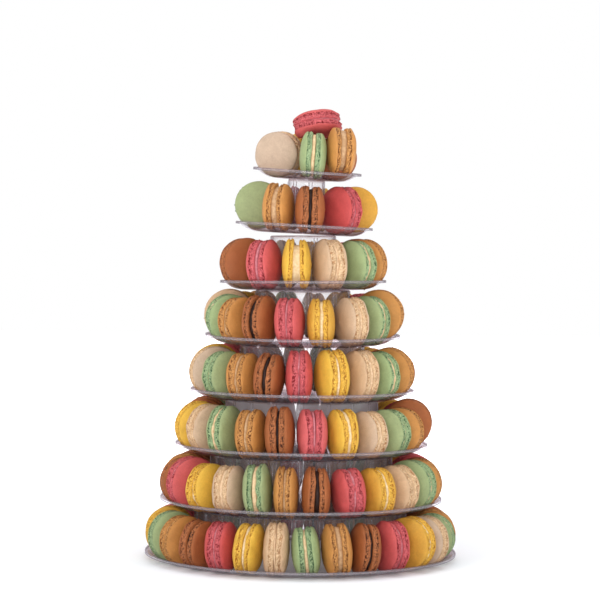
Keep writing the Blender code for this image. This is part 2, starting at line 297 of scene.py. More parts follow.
ribs = {
    "pitch": 26.0 * mm, "fewest": 7, "gap": 3.4 * mm,
    "width": 1.1 * mm, "proud": 0.5 * mm, "ramp": 1.0 * mm,
    "below": 2.2 * mm, "above": 4.0 * mm,  # free height under the hub's top and over the channel's wall
    "section": ((-0.5, -0.3), (-0.35, 0.7), (0.0, 1.0), (0.35, 0.7), (0.5, -0.3)),  # across and out
}


def foodSide(tier):  # the tray's upper skin from the axis out to the rim: radius, height, film and shade
    edge, ring, sheet = tierRadius(tier), ringRadius(tier), stand["sheet"]
    top, hub = hubHeight(tier), hubRadius(tier)
    rim = stand["baseRimHeight" if tier == stand["tiers"] else "rimHeight"]
    foot, wall, drop = ring - stand["wallFoot"], stand["wallHeight"], stand["rimDrop"]
    flat = ring - stand["flatInside"]
    look = trayFinish
    # the hub's film by tier holds painted light, and its shade painted shade
    film, shade = look["hubFilm"].get(tier, look["otherHubFilm"]), look["hubShade"].get(tier, 0.0)
    wallFilm, wallShade = look["channelWall"]
    points = [  # the hub's top, its rounded corner and its wall, then the channel's inner wall and flat
        (0, top, *look["top"]), (hub * 0.6, top, *look["top"]), (hub - 1.6 * mm, top, *look["topEdge"]),
        (hub - 0.5 * mm, top - 0.35 * mm, *look["topCorner"]), (hub, top - 1.0 * mm, *look["hubStart"]),
        (hub, top - 3.5 * mm, film, shade), ((hub + foot) / 2, (top + wall) / 2, film, shade),
        (foot - 0.3 * mm, wall + 3 * mm, film, shade * look["hubEndShade"]),
        (foot + 1.2 * mm, wall - 1.6 * mm, wallFilm, wallShade + shade),
        (flat - 1.8 * mm, sheet + 1.6 * mm, *look["channelFoot"]),
        (flat + 0.8 * mm, sheet + 0.12 * mm, *look["flat"]), (flat + 2.0 * mm, sheet, *look["flatEnd"]),
    ]
    start = ring + stand["bowlStart"]
    run, rise = edge - stand["rimWidth"] - start, rim - sheet
    bend = (run * run + rise * rise) / (2 * rise)
    # the bowl's painted shade darkens the macaron bottoms seen through it
    film, shade, fade = look["baseBowl" if tier == stand["tiers"] else "bowl"]
    for step in range(stand["bowlSteps"] + 1):
        share = step / stand["bowlSteps"]
        x = run * share
        height = sheet + bend - math.sqrt(bend * bend - x * x)
        points.append((start + x, height, film, shade * (1 - fade * share)))
    corner = stand["rimRounding"]
    points += [  # the rim's flat, its rounded corner and its turned-down edge, with lines at both
        (edge - stand["rimWidth"] + 0.5 * mm, rim + 0.15 * mm, *look["rimStart"]),
        (edge - corner * 3, rim + 0.1 * mm, *look["rimFlat"]),
        (edge - corner * 1.4, rim + 0.05 * mm, *look["rimBend"]),
        (edge - corner * 0.4, rim - corner * 0.4, *look["rimCorner"]),
        (edge, rim - corner * 1.3, *look["sideStart"]), (edge, rim - corner * 1.9, *look["side"]),
        (edge, rim - drop + corner * 1.2, *look["side"]),
        (edge, rim - drop + corner * 0.7, *look["sideFoot"]), (edge, rim - drop, *look["sideEnd"]),
    ]
    return points


def offsetSide(points, distance):  # the same profile moved to its right-hand side
    moved = []
    for index, (x, z, film, shade) in enumerate(points):
        before = points[max(index - 1, 0)]
        after = points[min(index + 1, len(points) - 1)]
        firstRun = Vector((x - before[0], z - before[1]))
        nextRun = Vector((after[0] - x, after[1] - z))
        normals = [Vector((run.y, -run.x)).normalized() for run in (firstRun, nextRun) if run.length > 0]
        normal = sum(normals, Vector((0, 0))).normalized()
        turned = max(normal.dot(normals[0]), stand["sharpest"])
        reach = distance * min(1 / turned, stand["stretch"])  # keeps the sheet's thickness at a corner
        moved.append((max(x + normal.x * reach, 0), z + normal.y * reach, film, shade))
    moved[0] = (0, *moved[0][1:])
    return moved


def turnedMesh(outline, turns):  # outline runs from the axis back to the axis
    ringPoints = outline[1:-1]
    angles = np.arange(turns) * math.tau / turns
    verts, finish = [(0, 0, outline[0][1])], [outline[0][2:]]
    for radius, height, film, shade in ringPoints:
        verts += [(radius * math.cos(a), radius * math.sin(a), height) for a in angles]
        finish += [(film, shade)] * turns
    verts.append((0, 0, outline[-1][1]))
    finish.append(outline[-1][2:])
    faces = []
    for turn in range(turns):
        after = (turn + 1) % turns
        faces.append((0, 1 + turn, 1 + after))
        for row in range(len(ringPoints) - 1):
            a, b = 1 + row * turns, 1 + (row + 1) * turns
            faces.append((a + turn, b + turn, b + after, a + after))
        last = 1 + (len(ringPoints) - 1) * turns
        faces.append((last + after, last + turn, len(verts) - 1))
    return verts, faces, finish


def addRibs(tier, verts, faces, finish):  # upright ribs on the outside of the hub, in pairs
    hub, top = hubRadius(tier), hubHeight(tier) - ribs["below"]
    foot, low = ringRadius(tier) - stand["wallFoot"], stand["wallHeight"] + ribs["above"]
    pairs = max(round(math.tau * hub / ribs["pitch"]), ribs["fewest"])
    slope = (foot - hub) / (stand["wallHeight"] - hubHeight(tier))
    rows = ((low, 0), (low + ribs["ramp"], 1), (top - ribs["ramp"], 1), (top, 0))  # height, proud or not
    columns = len(ribs["section"])
    for pair in range(pairs):
        for side in (-0.5, 0.5):
            middle = math.tau * (pair + 0.5) / pairs
            base = len(verts)
            for z, proud in rows:
                wall = hub + slope * (z - hubHeight(tier))
                for across, out in ribs["section"]:
                    angle = middle + (side * ribs["gap"] + across * ribs["width"]) / hub
                    radius = wall + out * ribs["proud"] * (1 if out < 0 else proud)
                    verts.append((radius * math.cos(angle), radius * math.sin(angle), z))
                    finish.append(trayFinish["ribFoot" if out < 0 else "rib"])
            for row in range(len(rows) - 1):
                for column in range(columns):
                    a = base + row * columns + column
                    b = base + row * columns + (column + 1) % columns
                    faces.append((a, b, b + columns, a + columns))
            faces.append(tuple(base + column for column in reversed(range(columns))))
            faces.append(tuple(base + (len(rows) - 1) * columns + column for column in range(columns)))


def finishPiece(name, verts, faces, place, material, nodes):
    mesh = bpy.data.meshes.new(name)
    mesh.from_pydata(verts, [], faces)
    mesh.transform(place)
    mesh.update()
    mesh.shade_smooth()
    piece = bpy.data.objects.new(name, mesh)
    bpy.context.scene.collection.objects.link(piece)
    mesh.materials.append(material)
    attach(piece, "root")
    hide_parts(*nodes)
    return piece


plastic = {
    "clear": (0.985, 0.983, 0.988), "edge": (0.38, 0.31, 0.36), "edgePower": 3.0, "edgeShare": 0.75,
    "shine": (0.90, 0.89, 0.95), "shinePower": 4.0, "shineShare": 0.45, "haze": 0.012,
    "roughness": (0.06, 0.18), "scuff": (60.0, 3.0), "scuffRange": (0.3, 0.75), "scuffBump": (0.04, 0.0004),
    "film": (0.78, 0.74, 0.81), "filmRoughness": 0.30,
    # painted shade: a warm darkening of what is seen through the sheet, turning into dark lines at the
    # rim's edges
    "shade": (0.46, 0.22, 0.18), "line": (0.20, 0.13, 0.19),
    "lineRange": (0.36, 0.56),  # the shade turns into a line between these two
    "shadowClear": 0.9,  # share of the light that a sheet lets through into its shadow
}


def clearPlastic():
    material, tree, shader = newMaterial("clearPlastic")
    shader.inputs["Base Color"].default_value = (*plastic["shine"], 1)
    shader.inputs["Metallic"].default_value = 1.0
    place = addNode(tree, "ShaderNodeTexCoord").outputs["Object"]
    scuff = noiseNode(tree, place, *plastic["scuff"])
    rough = mapNode(tree, scuff, *plastic["scuffRange"], *plastic["roughness"])
    link(tree, rough, shader.inputs["Roughness"])
    bumpNode(tree, scuff, *plastic["scuffBump"], shader)
    facing = addNode(tree, "ShaderNodeLayerWeight").outputs["Facing"]
    film, shade = (attributeNode(tree, name).outputs["Fac"] for name in ("film", "shade"))
    edge = mathNode(tree, "POWER", facing, plastic["edgePower"])
    edge = mathNode(tree, "MULTIPLY", edge, plastic["edgeShare"])
    through = addNode(tree, "ShaderNodeBsdfTransparent")
    tint = mixNode(tree, edge, plastic["clear"], plastic["edge"])
    lines = mapNode(tree, shade, *plastic["lineRange"], 0.0, 1.0)
    # the shade attribute mixes painted shade and its dark lines into what shows through
    tint = mixNode(tree, shade, tint, mixNode(tree, lines, plastic["shade"], plastic["line"]))
    shadow = addNode(tree, "ShaderNodeLightPath").outputs["Is Shadow Ray"]
    shadow = mathNode(tree, "MULTIPLY", shadow, plastic["shadowClear"])
    link(tree, mixNode(tree, shadow, tint, (1.0, 1.0, 1.0)), through.inputs["Color"])
    shine = mathNode(tree, "POWER", facing, plastic["shinePower"])
    shine = mathNode(tree, "MULTIPLY", shine, plastic["shineShare"])
    shine = mathNode(tree, "ADD", shine, plastic["haze"])
    front = mathNode(tree, "SUBTRACT", 1.0, addNode(tree, "ShaderNodeNewGeometry").outputs["Backfacing"])
    veil = addNode(tree, "ShaderNodeBsdfPrincipled")
    veil.inputs["Base Color"].default_value = (*plastic["film"], 1)
    veil.inputs["Roughness"].default_value = plastic["filmRoughness"]
    veiled = addNode(tree, "ShaderNodeMixShader")
    film = mathNode(tree, "MULTIPLY", film, mathNode(tree, "SUBTRACT", 1.0, shadow))
    link(tree, mathNode(tree, "MULTIPLY", film, front), veiled.inputs[0])
    link(tree, through.outputs[0], veiled.inputs[1])
    link(tree, veil.outputs[0], veiled.inputs[2])
    mix = addNode(tree, "ShaderNodeMixShader")
    link(tree, mathNode(tree, "MULTIPLY", shine, front), mix.inputs[0])
    link(tree, veiled.outputs[0], mix.inputs[1])
    link(tree, shader.outputs[0], mix.inputs[2])
    link(tree, mix.outputs[0], tree.nodes["Material Output"].inputs["Surface"])
    return material


def makeTrays():
    material = clearPlastic()
    for tier in range(1, stand["tiers"] + 1):
        upper = foodSide(tier)
        under = offsetSide(upper, stand["sheet"])
        verts, faces, finish = turnedMesh(upper + under[::-1], stand["turns"])
        if tier > 1:
            addRibs(tier, verts, faces, finish)
        name, place = f"tray_{tier}_clear", tierPlace[tier]
        piece = finishPiece(name, verts, faces, place, material, [f"tray_{tier}"])
        for title, values in zip(("film", "shade"), np.array(finish, dtype=np.float32).T):
            piece.data.attributes.new(title, "FLOAT", "POINT").data.foreach_set("value", values.copy())


makeTrays()
print("trays made")

# Where each macaron stands
macaron = {
    "radius": 24.0, "half": 14.2, "sizeSpread": 0.025,  # mm, of the ones behind
    "yawSpread": 1.0, "seed": 7, "crowdGap": 0.4 * mm, "restGap": 1.1 * mm,
    "outline": ((0.0, 1.0), (0.62, 0.87), (1.0, 0.46)),  # share of the radius and of the half thickness
    "sides": 8, "roundUp": 1.04,  # of the solids, whose lowest side lies on the tray
}
order = "cgabpy"  # cream, green, caramel, brown, pink, yellow, to the right
flavourNames = {"c": "cream", "g": "green", "a": "caramel", "b": "brown", "p": "pink", "y": "yellow"}
frontPlaces = {  # flavours, then place round the ring, disc angle, half thickness and radius in mm
    3: ("abpycgab", (
        (-107, -104, 12.5, 24.2), (-75, -63, 13, 25.0), (-39.4, -22, 14.4, 24.2),
        (-6.3, -1, 14.2, 24.3), (25.3, 21, 14.2, 24.4), (58, 43, 13, 23.7), (84, 60, 12.3, 24.6),
        (113, 96, 12.5, 25.1),
    )),
    4: ("ycgabpycga", (
        (-122, -117, 13, 24.6), (-99, -88, 12.5, 25.3), (-81, -67, 12.5, 24.0),
        (-57, -44, 13.5, 22.9), (-34.5, -22, 14.6, 24.3), (-10, -9.5, 14, 23.6),
        (13.6, 2, 13.6, 23.2), (39.5, 26, 13.2, 23.7), (61, 44, 13, 24.3), (82, 71, 12.5, 25.2),
    )),
    5: ("pycgabpycga", (
        (-120, -117, 13.5, 25.4), (-100, -92, 13.5, 25.4), (-80, -67, 13.7, 24.9),
        (-59.4, -46, 13.7, 23.2), (-39.5, -25, 13.7, 23.0), (-21.3, -13, 14.8, 23.0),
        (-2, -1, 13, 25.3), (18.5, 17, 14.6, 25.1), (39.5, 27, 14, 25.2), (57.7, 46, 13, 23.7),
        (75, 66, 12.5, 25.4),
    )),
    6: ("bpycgabpycgab", (
        (-108, -105, 13.5, 25.1), (-92, -86, 13.5, 24.0), (-76, -68, 13.5, 24.7),
        (-61, -50, 13.5, 24.0), (-46, -30, 13.5, 24.4), (-28, -15, 14, 23.4),
        (-11.9, -6, 14.5, 25.3), (5.5, 6, 14.4, 24.4), (22.5, 18.5, 13.9, 24.1), (38, 38, 13, 22.5),
        (54, 51, 14, 23.3), (71, 68, 14, 22.9), (85, 85, 13, 23.7),
    )),
    7: ("abpycgabpycga", (
        (-95, -93, 13.5, 23.7), (-79, -75, 13.7, 23.7), (-66, -60, 13.5, 25.2),
        (-50, -40, 13.7, 23.5), (-35.5, -22, 14, 23.3), (-20.4, -9, 13.6, 25.0),
        (-7, -3, 11.7, 24.2), (6.9, 3, 13.6, 24.2), (22.6, 16, 15, 23.4), (37.5, 31, 14.5, 23.1),
        (52, 46, 14, 23.5), (66, 60, 13.7, 24.9), (79, 75, 13, 24.0),
    )),
    8: ("ygabpycgabpycg", (
        (-83, -78, 13.5, 23.2), (-71, -64, 13.5, 24.6), (-60, -50, 13.5, 23.8),
        (-47, -35, 13.7, 23.0), (-34.6, -18, 15, 24.0), (-21.5, -13.5, 13.8, 23.8),
        (-9.9, -3.5, 12.3, 25.0), (2.2, 0.7, 13.7, 22.6), (15.1, 8.7, 15, 24.7),
        (27.5, 15.5, 13.2, 23.9), (40.5, 28, 13.7, 24.3), (53.5, 52, 13.5, 25.3),
        (65.5, 60, 14, 24.3), (80, 75, 13.5, 23.3),
    )),
}
behind = {3: 4, 4: 6, 5: 8, 6: 10, 7: 13, 8: 16}  # macarons in the rest of each ring
joined = (5, 6, 7, 8)  # tiers whose macarons are one node
pushed = {(3, 7): (1.2, 0.0), (4, 2): (1.5, 1.5), (4, 10): (1.5, 2.8), (6, 13): (4.0, 5.0)}  # mm out and up
placed = {  # the two small top tiers: flavour, x, y, disc angle, lift, half thickness and radius
    1: (
        ("c", -29.9, 7.4, -114, -0.5, 14.0, 22.8),
        ("g", 4.5, -31.0, 0, 1.0, 13.3, 22.7),
        ("a", 31.8, -25.2, 7.5, 7.5, 14.3, 22.9),
        ("b", 26.2, 17.6, 113, -0.2, 12.0, 21.7),
        ("y", -9.0, 31.0, 196, 1.0, 12.0, 21.7),
    ),
    2: (
        ("g", -46.6, 1.5, -88, 1.8, 12.5, 23.6),
        ("a", -26.3, -37.5, -13, 0.9, 14.5, 23.1),
        ("b", 4.6, -46.0, 1, 0.8, 14.5, 22.8),
        ("p", 35.3, -28.4, 38.5, -0.2, 13.0, 23.7),
        ("y", 48.8, 2.5, 92, 2.8, 12.3, 22.9),
        ("c", 37.5, 30.0, 128, 2.0, 11.3, 22.2),
        ("y", 14.0, 46.0, 163, 2.0, 11.3, 22.2),
        ("p", -16.0, 45.0, 199, 2.0, 11.3, 22.2),
        ("b", -38.3, 29.8, 232, 2.4, 11.3, 22.2),
    ),
}
lying = {  # mm from the top tray's middle, and degrees
    "place": (6.8, -0.5, 55.6), "tip": (-15.0, -12.0), "radius": 23.8 * mm, "half": 12.8 * mm,
}


def ringPlaces(tier):  # flavour, place, disc angle, radius, half thickness and push of each macaron
    draw = random.Random(macaron["seed"] * 100 + tier)
    flavours, front = frontPlaces[tier]
    first, last = front[0][0], front[-1][0]
    step = (first + 360.0 - last) / (behind[tier] + 1)
    turned = list(front)
    for number in range(behind[tier]):
        angle = last + step * (number + 1)
        radius = macaron["radius"] * (1 + macaron["sizeSpread"] * draw.uniform(-1, 1))
        turned.append((angle, angle, macaron["half"], radius))
    start = order.index(flavours[-1]) + 1
    flavours += "".join(order[(start + number) % len(order)] for number in range(behind[tier]))
    places = []
    for number, (angle, yaw, half, radius) in enumerate(turned):
        yaw = math.radians(yaw + macaron["yawSpread"] * draw.uniform(-1, 1))
        push = pushed.get((tier, number + 1), (0.0, 0.0))
        places.append((flavours[number], math.radians(angle), yaw, radius * mm, half * mm, push))
    return places


def restHeight(radius):
    flat = radius * macaron["roundUp"] * math.cos(math.pi / macaron["sides"])
    return stand["sheet"] + macaron["restGap"] + flat


def standingPoint(tier, angle, radius, push):
    reach = ringRadius(tier) + push[0] * mm
    return Vector((reach * math.sin(angle), -reach * math.cos(angle), restHeight(radius) + push[1] * mm))


def shellHalves(tier, places):  # two neighbours meet half way, with less room where their discs turn apart
    rooms = []
    for place, following in zip(places, places[1:] + places[:1]):
        start, end = (standingPoint(tier, one[1], one[3], one[5]) for one in (place, following))
        turn = (following[2] - place[2]) % math.tau / 2
        reach = (end - start).dot(Vector((math.cos(place[2] + turn), math.sin(place[2] + turn), 0))) / 2
        aside = max(place[3], following[3]) * macaron["roundUp"] * math.sin(turn)
        room = min((reach - share * aside) / (high * math.cos(turn)) for share, high in macaron["outline"])
        rooms.append(room - macaron["crowdGap"])
    return [(min(place[4], rooms[at - 1]), min(place[4], rooms[at])) for at, place in enumerate(places)]


def standing(x, y, yaw, height):
    turn = Matrix.Rotation(yaw, 4, "Z") @ Matrix.Rotation(math.pi / 2, 4, "Y")
    return Matrix.Translation((x, y, height)) @ turn


def allMacarons():  # tier, number, flavour, node, matrix, radius, halves (towards the last and the next)
    found = []
    for tier in range(1, stand["tiers"] + 1):
        if tier in placed:
            for number, (flavour, x, y, yaw, lift, half, radius) in enumerate(placed[tier], start=1):
                matrix = standing(x * mm, y * mm, math.radians(yaw), restHeight(radius * mm) + lift * mm)
                matrix = tierPlace[tier] @ matrix
                node = f"macaron_{tier}_{number:02d}_{flavourNames[flavour]}"
                found.append((tier, number, flavour, node, matrix, radius * mm, (half * mm, half * mm)))
            continue
        places = ringPlaces(tier)
        for number, (place, halves) in enumerate(zip(places, shellHalves(tier, places)), start=1):
            flavour, angle, yaw, radius, _, push = place
            point = standingPoint(tier, angle, radius, push)
            matrix = tierPlace[tier] @ standing(point.x, point.y, yaw, point.z)
            node = f"macaron_{tier}_{number:02d}_{flavourNames[flavour]}"
            if tier in joined:
                node = f"macarons_{tier}"
            found.append((tier, number, flavour, node, matrix, radius, halves))
    tip = Euler((math.radians(lying["tip"][0]), math.radians(lying["tip"][1]), 0)).to_matrix().to_4x4()
    matrix = tierPlace[1] @ Matrix.Translation(Vector(lying["place"]) * mm) @ tip
    found.append((0, 1, "p", "macaron_top_pink", matrix, lying["radius"], (lying["half"], lying["half"])))
    return found


# Shape of a shell and of a filling
shellShape = {
    "around": 96, "domeEdge": 0.50, "roundness": 2.25, "fullness": 0.60,
    "domeRows": (  # share of the radius, and points round it
        (0.055, 24), (0.13, 24), (0.27, 24), (0.45, 24),
        (0.62, 48), (0.76, 48), (0.87, 96), (0.94, 96), (0.98, 96),
    ),
    "footRows": (  # share of the way from the dome's edge to the filling, share of the radius, pits, foot
        (0.00, 1.002, 0.0, 0.0), (0.07, 0.988, 0.8, 0.6), (0.17, 0.966, 1.0, 1.0), (0.29, 0.964, 1.0, 1.0),
        (0.43, 0.980, 0.75, 1.0), (0.62, 0.990, 0.6, 1.0), (0.83, 0.974, 0.4, 1.0), (1.00, 0.930, 0.1, 1.0),
    ),
    "innerRadius": 0.80, "innerCount": 48, "innerDepth": 0.2 * mm,  # the flat underside
    "footReach": 0.9, "ruffle": 0.45 * mm, "ruffleSize": 2.6 * mm,  # from that share of the radius out
    "lobes": 0.012, "wander": 0.35 * mm, "wanderSize": 14 * mm,
    "innerWander": ((0.9, 0.5), (0.82, 0.6)),  # inside a share of the radius, how much of it is left
    "pitDepth": 1.15 * mm, "pitSize": 1.4 * mm, "pitStretch": (0.75, 0.75, 1),
    "pitStart": 0.35, "pitEdge": 1.5, "shift": 0.5 * mm, "tilt": 2.0,
    "nipple": (0.4 * mm, 0.8 * mm), "nippleShare": 0.4, "nippleReach": 0.1, "nippleFall": 0.45,
}
fillingShape = {  # rows: share of the radius (None is the filling's own), share of its thickness, mm more
    "rows": ((0.0, 1.0, 0.3), (0.45, 1.0, 0.3), (0.80, 1.0, 0.3), (None, 0.75, 0.0)),
    "counts": (24, 48, 48, 48, 48, 24), "uneven": 0.014, "unevenSize": 9 * mm, "reach": 0.82,
}
waveSizes = (0.7, 1.4)  # the shortest and the longest, as shares of the size asked for


def waveNoise(points, size, draw, waves=10):  # smooth random waves with a spread of about 1
    total = np.zeros(len(points))
    for _ in range(waves):
        way = np.array([draw.gauss(0, 1) for _ in range(3)])
        way *= math.tau / (np.linalg.norm(way) * size * draw.uniform(*waveSizes))
        total += np.sin(points @ way + draw.uniform(0, math.tau))
    return total / math.sqrt(waves / 2)


def stitchRows(counts):  # faces between rows of points; a row may have twice or half as many as the last
    faces = []
    start = 1
    for column in range(counts[0]):
        faces.append((0, 1 + column, 1 + (column + 1) % counts[0]))
    for here, there in zip(counts, counts[1:]):
        a, b = start, start + here
        if here == there:
            for column in range(here):
                after = (column + 1) % here
                faces.append((a + column, b + column, b + after, a + after))
        elif there == 2 * here:
            for column in range(here):
                after, two = (column + 1) % here, 2 * column
                faces.append((a + column, b + two, b + two + 1))
                faces.append((a + column, b + two + 1, a + after))
                faces.append((a + after, b + two + 1, b + (two + 2) % there))
        else:
            for column in range(there):
                after, two = (column + 1) % there, 2 * column
                faces.append((a + two, b + column, a + two + 1))
                faces.append((b + column, b + after, a + two + 1))
                faces.append((a + two + 1, b + after, a + (two + 2) % here))
        start += here
    last = counts[-1]
    tip = start + last
    for column in range(last):
        faces.append((start + (column + 1) % last, start + column, tip))
    return faces


shellCounts = [count for _, count in shellShape["domeRows"]]
shellCounts += [shellShape["around"]] * len(shellShape["footRows"]) + [shellShape["innerCount"]]
shellFaces = stitchRows(shellCounts)
fillingFaces = stitchRows(fillingShape["counts"])


def rowPoints(radii, heights, counts):
    xs, ys, zs = [0.0], [0.0], [heights[0]]
    for radius, height, count in zip(radii[1:-1], heights[1:-1], counts):
        angles = np.arange(count) * math.tau / count
        xs += list(radius * np.cos(angles))
        ys += list(radius * np.sin(angles))
        zs += [height] * count
    return np.array([xs + [0.0], ys + [0.0], zs + [heights[-1]]]).T


def spreadRows(values, counts):  # one value for each row, to one for each of its points
    return np.repeat(values, (1, *counts, 1))


def makeShell(radius, half, filling, draw, tipped):  # dome up, over a filling of this half thickness
    shape = shellShape
    edge = shape["domeEdge"] * half
    chance = draw.random() < shape["nippleShare"]
    nipple = draw.uniform(*shape["nipple"]) * (chance if tipped is None else tipped)
    radii, heights, pits, feet = [0.0], [half + nipple], [0.0], [0.0]
    for share, _ in shape["domeRows"]:
        radii.append(share * radius)
        fall = (1 - share ** shape["roundness"]) ** shape["fullness"]
        rise = nipple * shape["nippleFall"] * (share < shape["nippleReach"])
        heights.append(edge + (half - edge) * fall + rise)
        pits.append(0.0)
        feet.append(0.0)
    for share, width, pit, foot in shape["footRows"]:
        radii.append(width * radius)
        heights.append(edge + (filling - edge) * share)
        pits.append(pit)
        feet.append(foot)
    radii += [shape["innerRadius"] * radius, 0.0]
    heights += [filling - shape["innerDepth"]] * 2
    points = rowPoints(radii, heights, shellCounts)
    weight, feet = spreadRows(pits + [0.0, 0.0], shellCounts), spreadRows(feet + [1.0, 1.0], shellCounts)
    own = points.copy()
    angle = np.arctan2(points[:, 1], points[:, 0])
    out = np.hypot(points[:, 0], points[:, 1]) / radius
    turns = [wave * (angle - draw.uniform(0, math.tau)) for wave in (1, 2, 3)]
    lobes = sum(shape["lobes"] / wave * np.cos(turn) for wave, turn in enumerate(turns, start=1))
    ruffle = waveNoise(points, shape["ruffleSize"], draw) * shape["ruffle"]
    ruffle *= feet * (out > shape["footReach"])
    field = waveNoise(points * shape["pitStretch"], shape["pitSize"], draw)
    pits = np.clip((field - shape["pitStart"]) * shape["pitEdge"], 0, 1) * weight
    points[:, :2] *= (1 + lobes * out ** 2 + (ruffle - pits * shape["pitDepth"]) / radius)[:, None]
    rise = waveNoise(own, shape["wanderSize"], draw, 6) * shape["wander"]
    for reach, left in shape["innerWander"]:
        rise *= np.where(out > reach, 1.0, left)
    points[:, 2] += rise
    tilt = [math.radians(draw.uniform(-1, 1) * shape["tilt"]) for _ in range(2)]
    points = points @ np.array(Euler(tilt + [draw.uniform(0, math.tau)]).to_matrix()).T
    points[:, 0] += draw.uniform(-1, 1) * shape["shift"]
    points[:, 1] += draw.uniform(-1, 1) * shape["shift"]
    return points, own, pits, feet, weight


def makeFillingShape(radius, thick, width, draw):
    shape = fillingShape
    radii = [(width if share is None else share) * radius for share, _, _ in shape["rows"]]
    heights = [thick * share + more * mm for _, share, more in shape["rows"]]
    radii += radii[::-1]
    heights += [-height for height in heights[::-1]]
    points = rowPoints(radii, heights, shape["counts"])
    own = points.copy()
    out = np.hypot(points[:, 0], points[:, 1]) / radius
    uneven = waveNoise(own, shape["unevenSize"], draw, 6) * shape["uneven"] * (out > shape["reach"])
    points[:, :2] *= (1 + uneven)[:, None]
    return points, own


# Finishes of shells and fillings
skin = {  # noises are waves to the metre, detail and roughness, and lights what they add
    "patches": (110.0, 2.0, 0.5), "patchLight": (0.93, 1.05), "mottle": (420.0, 2.0, 0.7),
    "mottleLight": (-0.05, 0.05), "grain": (1200.0, 2.0, 0.65), "grainLight": (-0.08, 0.08),
    "crumbs": (1050.0, 2.5, 0.6), "crumbStretch": (0.8, 0.8, 1.0), "crumbLight": (0.16, -0.16),
    "span": (0.3, 0.7), "crumbSpan": (0.35, 0.65),  # from dark to light in a noise
    "holeRange": (0.30, 0.60), "holeUneven": (-0.30, 0.30), "smallHoles": (0.525, 0.575),
    "roughness": (0.52, 0.68), "grainHeight": 0.35, "mottleHeight": 0.4, "specular": 0.25,
    "bump": (0.7, 0.0006),
}
creamSkin = {
    "lumps": (420.0, 3.0), "lumpSpan": (0.35, 0.65),
    "roughness": 0.5, "specular": 0.2, "bump": (0.5, 0.0005),
}
shellValues = ("Foot", "Band", "Pits", "Tone")
shellColours = ("Dome Colour", "Other Colour", "Foot Colour", "Pit Shade Colour")
creamColours = ("Light Colour", "Dark Colour")


def newGroup(name, values, colours, outputs):  # takes the own place of a point, its values and the colours
    group = bpy.data.node_groups.new(name, "ShaderNodeTree")
    inputs = [("Place", "Vector")] + [(title, "Float") for title in values]
    for title, kind in inputs + [(title, "Color") for title in colours]:
        group.interface.new_socket(title, in_out="INPUT", socket_type=f"NodeSocket{kind}")
    for title, kind in outputs:
        group.interface.new_socket(title, in_out="OUTPUT", socket_type=f"NodeSocket{kind}")
    return group, addNode(group, "NodeGroupInput").outputs, addNode(group, "NodeGroupOutput").inputs


def bakedShellGroup():
    outputs = (("Colour", "Color"), ("Roughness", "Float"), ("Height", "Float"))
    group, given, out = newGroup("bakedShell", shellValues, shellColours, outputs)
    noises = (noiseNode(group, given["Place"], *skin[name]) for name in ("patches", "mottle", "grain"))
    patches, mottle, grain = noises
    stretch = addNode(group, "ShaderNodeVectorMath", operation="MULTIPLY")
    stretch.inputs[1].default_value = skin["crumbStretch"]
    link(group, given["Place"], stretch.inputs[0])
    crumbs = noiseNode(group, stretch.outputs[0], *skin["crumbs"])
    uneven = mapNode(group, crumbs, *skin["span"], *skin["holeUneven"])
    holes = mathNode(group, "ADD", given["Pits"], uneven)
    holes = mapNode(group, holes, *skin["holeRange"], 0.0, 1.0)
    small = mapNode(group, crumbs, *skin["smallHoles"], 0.0, 1.0)
    holes = mathNode(group, "MAXIMUM", holes, mathNode(group, "MULTIPLY", small, given["Band"]))
    light = mapNode(group, patches, *skin["span"], *skin["patchLight"])
    light = mathNode(group, "ADD", light, mapNode(group, grain, *skin["span"], *skin["grainLight"]))
    ragged = mapNode(group, crumbs, *skin["crumbSpan"], *skin["crumbLight"])
    light = mathNode(group, "ADD", light, mathNode(group, "MULTIPLY", ragged, given["Foot"]))
    light = mathNode(group, "ADD", light, mapNode(group, mottle, *skin["span"], *skin["mottleLight"]))
    share = mapNode(group, given["Tone"], -1.0, 1.0, 0.0, 1.0)
    dome = mixNode(group, share, given["Dome Colour"], given["Other Colour"])
    base = brightNode(group, mixNode(group, given["Foot"], dome, given["Foot Colour"]), light)
    # painted shade in the foot's pits and small holes
    link(group, mixNode(group, holes, base, given["Pit Shade Colour"]), out["Colour"])
    link(group, mapNode(group, grain, *skin["span"], *skin["roughness"]), out["Roughness"])
    height = mathNode(group, "MULTIPLY", grain, skin["grainHeight"])
    height = mathNode(group, "ADD", height, mathNode(group, "MULTIPLY", mottle, skin["mottleHeight"]))
    link(group, mathNode(group, "SUBTRACT", height, holes), out["Height"])
    return group


def creamGroup():
    group, given, out = newGroup("cream", (), creamColours, (("Colour", "Color"), ("Height", "Float")))
    lumps = noiseNode(group, given["Place"], *creamSkin["lumps"])
    share = mapNode(group, lumps, *creamSkin["lumpSpan"], 0.0, 1.0)
    link(group, mixNode(group, share, given["Light Colour"], given["Dark Colour"]), out["Colour"])
    link(group, lumps, out["Height"])
    return group


